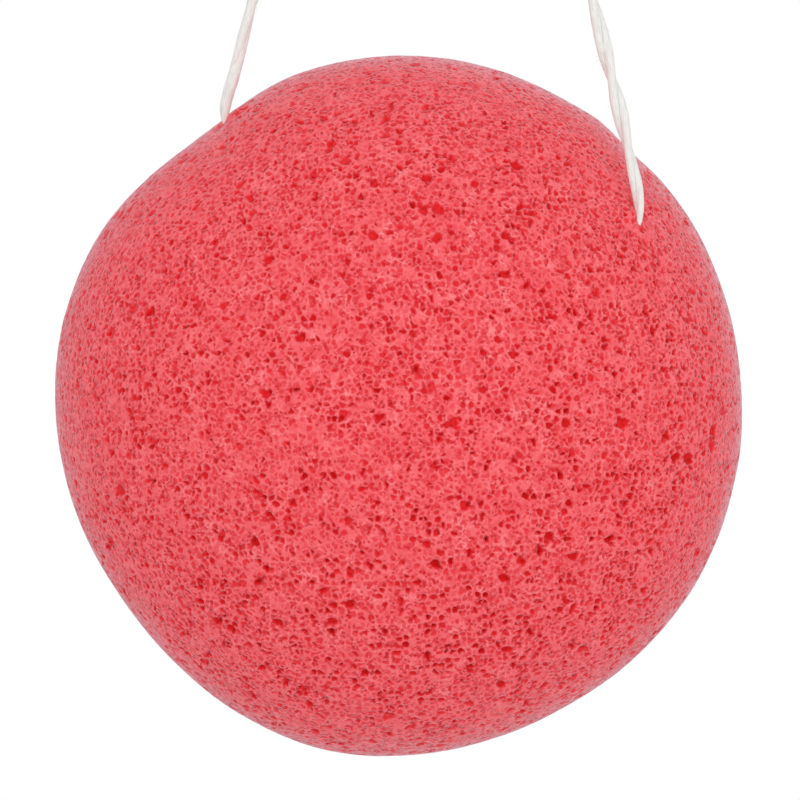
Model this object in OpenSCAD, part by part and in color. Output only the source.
/* [Sponge] */
// Diameter of the half-ball, before the swells and dents of its outline
sponge_d = 79.6; // [60:0.2:90]
// How far the dome stands out in front of the widest plane
dome_h = 27; // [20:0.5:34]
// Radius of the round rim behind the widest plane, down to the flat back
rim_r = 3; // [2:0.25:6]
// How far the middle of the sponge hangs below the hang point
sponge_drop = 126; // [110:1:160]
// How far the middle of the sponge lies to the left of the hang point
sponge_left = 2; // [0:0.5:4]
// How far the widest plane lies behind the hang point, so that the sponge balances below it
sponge_back = 8.5; // [6:0.1:10]

/* [Tunnel] */
// Angle of the left mouth round the outline, counted from the right-hand side
left_mouth_angle = 118.5; // [112:1:126]
// How far out the left mouth lies, as a share of the outline's radius there
left_mouth_share = 0.984; // [0.92:0.002:0.99]
// Angle of the right mouth round the outline
right_mouth_angle = 42; // [34:1:50]
// How far out the right mouth lies, as a share of the outline's radius there
right_mouth_share = 0.862; // [0.8:0.002:0.94]
// Gap round the threaded string, on which the sponge turns
tunnel_gap = 0.05; // [0.02:0.01:0.1]

/* [String] */
// Diameter of the twisted cotton string
string_d = 1.5; // [1:0.1:2]
// Length of string that stands out of each mouth before it bends up
stub_length = 2; // [1.5:0.1:3]
// Diameter of the overhand knot
knot_d = 6; // [4.5:0.25:8]
// Height of the overhand knot
knot_h = 6; // [4.5:0.25:8]
// Radius of the knot's rounded edges
knot_round = 2.2; // [1:0.1:2.2]

/* [Hidden] */

// Swells and dents of the outline: middle of each in degrees of turn,
// height as a share of the radius, and half width in degrees of turn
lobe_shares = [
    [35, 0.007, 12], [50, -0.018, 5], [86, 0.026, 34], [125.5, -0.028, 11],
    [162, 0.016, 22], [215, -0.012, 14], [258, 0.028, 20], [325, 0.007, 22]
];
// Facets round the outline, from the dome's top to its widest plane, and round the rim
outline_steps = 72;
dome_steps = 13;
rim_steps = 3;

// Routes of the free string, from just above each mouth to the knot, and out of its top
left_route = [
    [-21.2, 3.8, -87.5], [-20.2, 3.6, -83.5], [-19.2, 3.4, -79.5], [-18.2, 3.3, -75.5],
    [-17.2, 3.1, -71.5], [-16.3, 2.9, -67.5], [-15.3, 2.8, -63.5], [-14.4, 2.6, -59.5],
    [-13.4, 2.4, -55.5], [-12.5, 2.3, -51.5], [-11.5, 2.1, -47.5], [-10.6, 1.9, -43.5],
    [-9.7, 1.7, -39.5], [-8.8, 1.6, -35.5], [-7.9, 1.4, -31.5], [-7, 1.2, -27.5],
    [-6.1, 1.1, -23.5], [-5.3, 0.9, -19.5], [-4.4, 0.7, -15.5], [-3.6, 0.5, -11.5],
    [-2.7, 0.4, -7.5], [-1.8, 0.2, -3.5], [-1.2, 0.1, -0.5], [-1, 0, 1.5]
];
right_route = [
    [24.6, -5.1, -99], [23.7, -4.9, -95], [22.8, -4.7, -91], [21.8, -4.4, -87],
    [20.9, -4.2, -83], [19.9, -4, -79], [18.9, -3.8, -75], [18, -3.6, -71],
    [17, -3.4, -67], [16, -3.2, -63], [15.1, -3, -59], [14.1, -2.8, -55],
    [13.1, -2.6, -51], [12.1, -2.4, -47], [11.1, -2.2, -43], [10.1, -2, -39],
    [9.1, -1.8, -35], [8.1, -1.6, -31], [7.1, -1.4, -27], [6.1, -1.2, -23],
    [5.1, -1, -19], [4.1, -0.8, -15], [3.1, -0.5, -11], [2.1, -0.3, -7],
    [1.3, -0.1, -3], [1, 0, 1.5]
];
left_tail_route = [[-1, 0, 4.5], [-1.2, 0, 7], [-2, -0.4, 10], [-3.2, -1, 13]];
right_tail_route = [[1, 0, 4.5], [1.1, 0, 7], [1.6, 0.3, 9.5], [2.6, 0.8, 12]];
// Facets round the free string
string_sides = 8;
// How far a cut runs past what it cuts
cut_over = 4;
$fn = 64;

// Middle of the sponge's widest plane
sponge_middle = [-sponge_left, sponge_back, -sponge_drop];

// A direction of unit length
function unit(v) = v / norm(v);

// Difference between two turns, folded to half a circle either way
function folded(turn) = turn > 180 ? turn - 360 : turn < -180 ? turn + 360 : turn;

// Radius of the outline at a turn: a circle with its swells and dents
function outline_r(turn) = sponge_d / 2 * (1 + sum([
    for (lobe = lobe_shares) lobe[1] * exp(-pow(folded(turn - lobe[0]) / lobe[2], 2))
]));

// Sum of a list
function sum(list, i = 0) = i == len(list) ? 0 : list[i] + sum(list, i + 1);

// A point at a turn and a radius about the sponge's middle, a depth behind the widest plane
function sponge_point(turn, r, depth) = sponge_middle + [r * cos(turn), depth, r * sin(turn)];

// The dome's point at a turn and a share of the outline's radius
function dome_point(turn, share) =
    sponge_point(turn, share * outline_r(turn), -dome_h * sqrt(1 - share * share));

// The tunnel's mouths on the dome, and the places where the string bends up beyond them
left_mouth = dome_point(left_mouth_angle, left_mouth_share);
right_mouth = dome_point(right_mouth_angle, right_mouth_share);
tunnel_axis = unit(right_mouth - left_mouth);
left_bend = left_mouth - stub_length * tunnel_axis;
right_bend = right_mouth + stub_length * tunnel_axis;

// Direction of a route at its point i, from that point's neighbours
function heading(route, i) =
    unit(route[min(i + 1, len(route) - 1)] - route[max(i - 1, 0)]);

// Closed tube that follows a route, with one ring at each of its points
module tube(route, d) {
    rings = [
        for (i = [0 : len(route) - 1])
        let (
            ahead = heading(route, i),
            side = unit(cross([0, 1, 0], ahead)),
            front = cross(ahead, side)
        )
        for (k = [0 : string_sides - 1])
        let (turn = 360 * k / string_sides)
        route[i] + d / 2 * (cos(turn) * side + sin(turn) * front)
    ];
    last = len(rings) - string_sides;
    walls = [
        for (i = [0 : len(route) - 2], k = [0 : string_sides - 1])
        let (
            a = i * string_sides + k,
            b = i * string_sides + (k + 1) % string_sides
        )
        each [
            [a, a + string_sides, b],
            [b, a + string_sides, b + string_sides]
        ]
    ];
    near_end = [for (k = [0 : string_sides - 1]) k];
    far_end = [for (k = [string_sides - 1 : -1 : 0]) last + k];
    polyhedron(rings, concat(walls, [near_end, far_end]), convexity = 4);
}

// Rings of the sponge from the dome's top to the edge of the flat back: share of
// the outline's radius, width of the rim taken off it, and depth behind the widest plane
sponge_rings = concat(
    [
        for (i = [1 : dome_steps])
        let (a = 90 * i / dome_steps)
        [sin(a), 0, -dome_h * cos(a)]
    ],
    [
        for (i = [1 : rim_steps])
        let (a = 90 * i / rim_steps)
        [1, rim_r * (1 - cos(a)), rim_r * sin(a)]
    ]
);

// Half-ball of foam: a domed front, a round rim and a flat back
module half_ball() {
    rings = [
        for (ring = sponge_rings, k = [0 : outline_steps - 1])
        let (turn = 360 * k / outline_steps)
        sponge_point(turn, ring[0] * outline_r(turn) - ring[1], ring[2])
    ];
    top = len(rings);
    last = top - outline_steps;
    crown = [
        for (k = [0 : outline_steps - 1])
        [top, (k + 1) % outline_steps, k]
    ];
    walls = [
        for (i = [0 : len(sponge_rings) - 2], k = [0 : outline_steps - 1])
        let (
            a = i * outline_steps + k,
            b = i * outline_steps + (k + 1) % outline_steps
        )
        each [
            [a, b, a + outline_steps],
            [b, b + outline_steps, a + outline_steps]
        ]
    ];
    flat_back = [for (k = [0 : outline_steps - 1]) last + k];
    polyhedron(
        concat(rings, [sponge_point(0, 0, -dome_h)]),
        concat(crown, walls, [flat_back]),
        convexity = 4
    );
}

// Turns +Z to the direction of the tunnel, at a point on it
module along_tunnel(start) {
    translate(start)
    rotate([0, acos(tunnel_axis[2]), atan2(tunnel_axis[1], tunnel_axis[0])])
    children();
}

// The foam, with the tunnel that the string runs through
module sponge_body() {
    color([0.92, 0.36, 0.38])
    difference() {
        half_ball();
        along_tunnel(left_mouth - cut_over * tunnel_axis)
        cylinder(h = norm(right_mouth - left_mouth) + 2 * cut_over, r = string_d / 2 + tunnel_gap);
    }
}

// The stretch of string inside the foam, with its round bends just outside both mouths
module string_through() {
    length = norm(right_bend - left_bend);
    color([0.92, 0.89, 0.86])
    along_tunnel(left_bend)
    rotate_extrude()
    intersection() {
        translate([0, -string_d / 2])
        square([string_d / 2, length + string_d]);
        union() {
            square([string_d / 2, length]);
            for (end = [0, length])
            translate([0, end])
            circle(d = string_d);
        }
    }
}

// The left side of the loop, from its mouth up into the knot
module string_left_leg() {
    color([0.93, 0.9, 0.87])
    tube(concat([left_bend], left_route), string_d);
}

// The right side of the loop
module string_right_leg() {
    color([0.93, 0.9, 0.87])
    tube(concat([right_bend], right_route), string_d);
}

// The overhand knot that ties both ends of the string together, just above the hang point
module string_knot() {
    color([0.9, 0.87, 0.84])
    rotate_extrude()
    intersection() {
        square([knot_d / 2, knot_h]);
        union() {
            square([knot_d / 2 - knot_round, knot_h]);
            translate([0, knot_round])
            square([knot_d / 2, knot_h - 2 * knot_round]);
            for (z = [knot_round, knot_h - knot_round])
            translate([knot_d / 2 - knot_round, z])
            circle(r = knot_round);
        }
    }
}

// The left cut end of the string, above the knot
module string_left_tail() {
    color([0.93, 0.9, 0.87])
    tube(left_tail_route, string_d);
}

// The right cut end of the string
module string_right_tail() {
    color([0.93, 0.9, 0.87])
    tube(right_tail_route, string_d);
}

sponge_body();
string_through();
string_left_leg();
string_right_leg();
string_knot();
string_left_tail();
string_right_tail();
